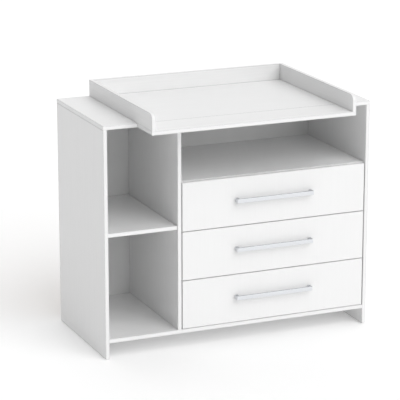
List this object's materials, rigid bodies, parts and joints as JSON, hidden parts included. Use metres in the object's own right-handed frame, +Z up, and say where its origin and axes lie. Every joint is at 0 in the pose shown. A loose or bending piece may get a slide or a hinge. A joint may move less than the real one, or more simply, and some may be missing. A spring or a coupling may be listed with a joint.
{
  "type": "changing table",
  "caption": "White nursery cabinet with open compartments, a niche and drawers on roller runners, under a three-walled changing tray that reaches out over its front.",
  "frame": {"origin": "on the floor, under the middle of the whole table's box", "axes": "+Z up, -Y towards the user at the front, +X to the user's right as they face the front"},
  "size_m": [1.1, 0.655, 0.97],
  "materials": {
    "coated_board": "white melamine-coated chipboard, smooth satin, edges banded in the same white",
    "hardboard": "thin hardboard with a white printed face",
    "handle_metal": "satin nickel",
    "runner_steel": "white epoxy-coated pressed steel",
    "roller_nylon": "off-white nylon",
    "zinc_steel": "bright zinc plate",
    "beech": "plain beech, unfinished",
    "glide_plastic": "white polyethylene"
  },
  "bodies": {
    "cabinet": {"back_nails": "zinc_steel", "back_panel_left": "hardboard", "back_panel_right": "hardboard", "bottom_board": "coated_board", "cabinet_runners": "runner_steel", "cam_bolts": "zinc_steel", "cam_locks": "zinc_steel", "divider_panel": "coated_board", "floor_glides": "glide_plastic", "joining_plates": "zinc_steel", "niche_shelf": "coated_board", "shelf_pins": "zinc_steel", "side_panel_left": "coated_board", "side_panel_right": "coated_board", "side_shelf": "coated_board", "small_screws": "zinc_steel", "top_board": "coated_board", "tray_back": "coated_board", "tray_front_board": "coated_board", "tray_screws": "zinc_steel", "tray_side_left": "coated_board", "tray_side_right": "coated_board", "wall_brackets": "zinc_steel", "wood_dowels": "beech"},
    "bottom_drawer": {"bottom_drawer_back": "coated_board", "bottom_drawer_bottom": "hardboard", "bottom_drawer_cam_fittings": "zinc_steel", "bottom_drawer_front": "coated_board", "bottom_drawer_handle": "handle_metal", "bottom_drawer_handle_screws": "zinc_steel", "bottom_drawer_runners": "runner_steel", "bottom_drawer_screws": "zinc_steel", "bottom_drawer_side_left": "coated_board", "bottom_drawer_side_right": "coated_board"},
    "bottom_drawer_front_rollers": {"bottom_drawer_front_rollers": "roller_nylon"},
    "bottom_drawer_rear_rollers": {"bottom_drawer_rear_rollers": "roller_nylon"},
    "middle_drawer": {"middle_drawer_back": "coated_board", "middle_drawer_bottom": "hardboard", "middle_drawer_cam_fittings": "zinc_steel", "middle_drawer_front": "coated_board", "middle_drawer_handle": "handle_metal", "middle_drawer_handle_screws": "zinc_steel", "middle_drawer_runners": "runner_steel", "middle_drawer_screws": "zinc_steel", "middle_drawer_side_left": "coated_board", "middle_drawer_side_right": "coated_board"},
    "middle_drawer_front_rollers": {"middle_drawer_front_rollers": "roller_nylon"},
    "middle_drawer_rear_rollers": {"middle_drawer_rear_rollers": "roller_nylon"},
    "top_drawer": {"top_drawer_back": "coated_board", "top_drawer_bottom": "hardboard", "top_drawer_cam_fittings": "zinc_steel", "top_drawer_front": "coated_board", "top_drawer_handle": "handle_metal", "top_drawer_handle_screws": "zinc_steel", "top_drawer_runners": "runner_steel", "top_drawer_screws": "zinc_steel", "top_drawer_side_left": "coated_board", "top_drawer_side_right": "coated_board"},
    "top_drawer_front_rollers": {"top_drawer_front_rollers": "roller_nylon"},
    "top_drawer_rear_rollers": {"top_drawer_rear_rollers": "roller_nylon"}
  },
  "joints": [
    {"name": "bottom_drawer_slide", "type": "slide", "parent": "cabinet", "child": "bottom_drawer", "axis": [0, -1, 0], "range_m": [0, 0.34]},
    {"name": "bottom_drawer_front_rollers_turn", "type": "hinge", "parent": "cabinet", "child": "bottom_drawer_front_rollers", "pos_m": [0, -0.1535, 0.1082], "axis": [1, 0, 0], "range_deg": [0, 2170]},
    {"name": "bottom_drawer_rear_rollers_turn", "type": "hinge", "parent": "bottom_drawer", "child": "bottom_drawer_rear_rollers", "pos_m": [0, 0.2725, 0.1082], "axis": [1, 0, 0], "range_deg": [0, 2170]},
    {"name": "middle_drawer_slide", "type": "slide", "parent": "cabinet", "child": "middle_drawer", "axis": [0, -1, 0], "range_m": [0, 0.34]},
    {"name": "middle_drawer_front_rollers_turn", "type": "hinge", "parent": "cabinet", "child": "middle_drawer_front_rollers", "pos_m": [0, -0.1535, 0.3012], "axis": [1, 0, 0], "range_deg": [0, 2170]},
    {"name": "middle_drawer_rear_rollers_turn", "type": "hinge", "parent": "middle_drawer", "child": "middle_drawer_rear_rollers", "pos_m": [0, 0.2725, 0.3012], "axis": [1, 0, 0], "range_deg": [0, 2170]},
    {"name": "top_drawer_slide", "type": "slide", "parent": "cabinet", "child": "top_drawer", "axis": [0, -1, 0], "range_m": [0, 0.34]},
    {"name": "top_drawer_front_rollers_turn", "type": "hinge", "parent": "cabinet", "child": "top_drawer_front_rollers", "pos_m": [0, -0.1535, 0.4942], "axis": [1, 0, 0], "range_deg": [0, 2170]},
    {"name": "top_drawer_rear_rollers_turn", "type": "hinge", "parent": "top_drawer", "child": "top_drawer_rear_rollers", "pos_m": [0, 0.2725, 0.4942], "axis": [1, 0, 0], "range_deg": [0, 2170]}
  ],
  "couplings": [
    {"joint": "bottom_drawer_front_rollers_turn", "follows": "bottom_drawer_slide", "rad_per_m": 111.11},
    {"joint": "bottom_drawer_rear_rollers_turn", "follows": "bottom_drawer_slide", "rad_per_m": 111.11},
    {"joint": "middle_drawer_front_rollers_turn", "follows": "middle_drawer_slide", "rad_per_m": 111.11},
    {"joint": "middle_drawer_rear_rollers_turn", "follows": "middle_drawer_slide", "rad_per_m": 111.11},
    {"joint": "top_drawer_front_rollers_turn", "follows": "top_drawer_slide", "rad_per_m": 111.11},
    {"joint": "top_drawer_rear_rollers_turn", "follows": "top_drawer_slide", "rad_per_m": 111.11}
  ]
}
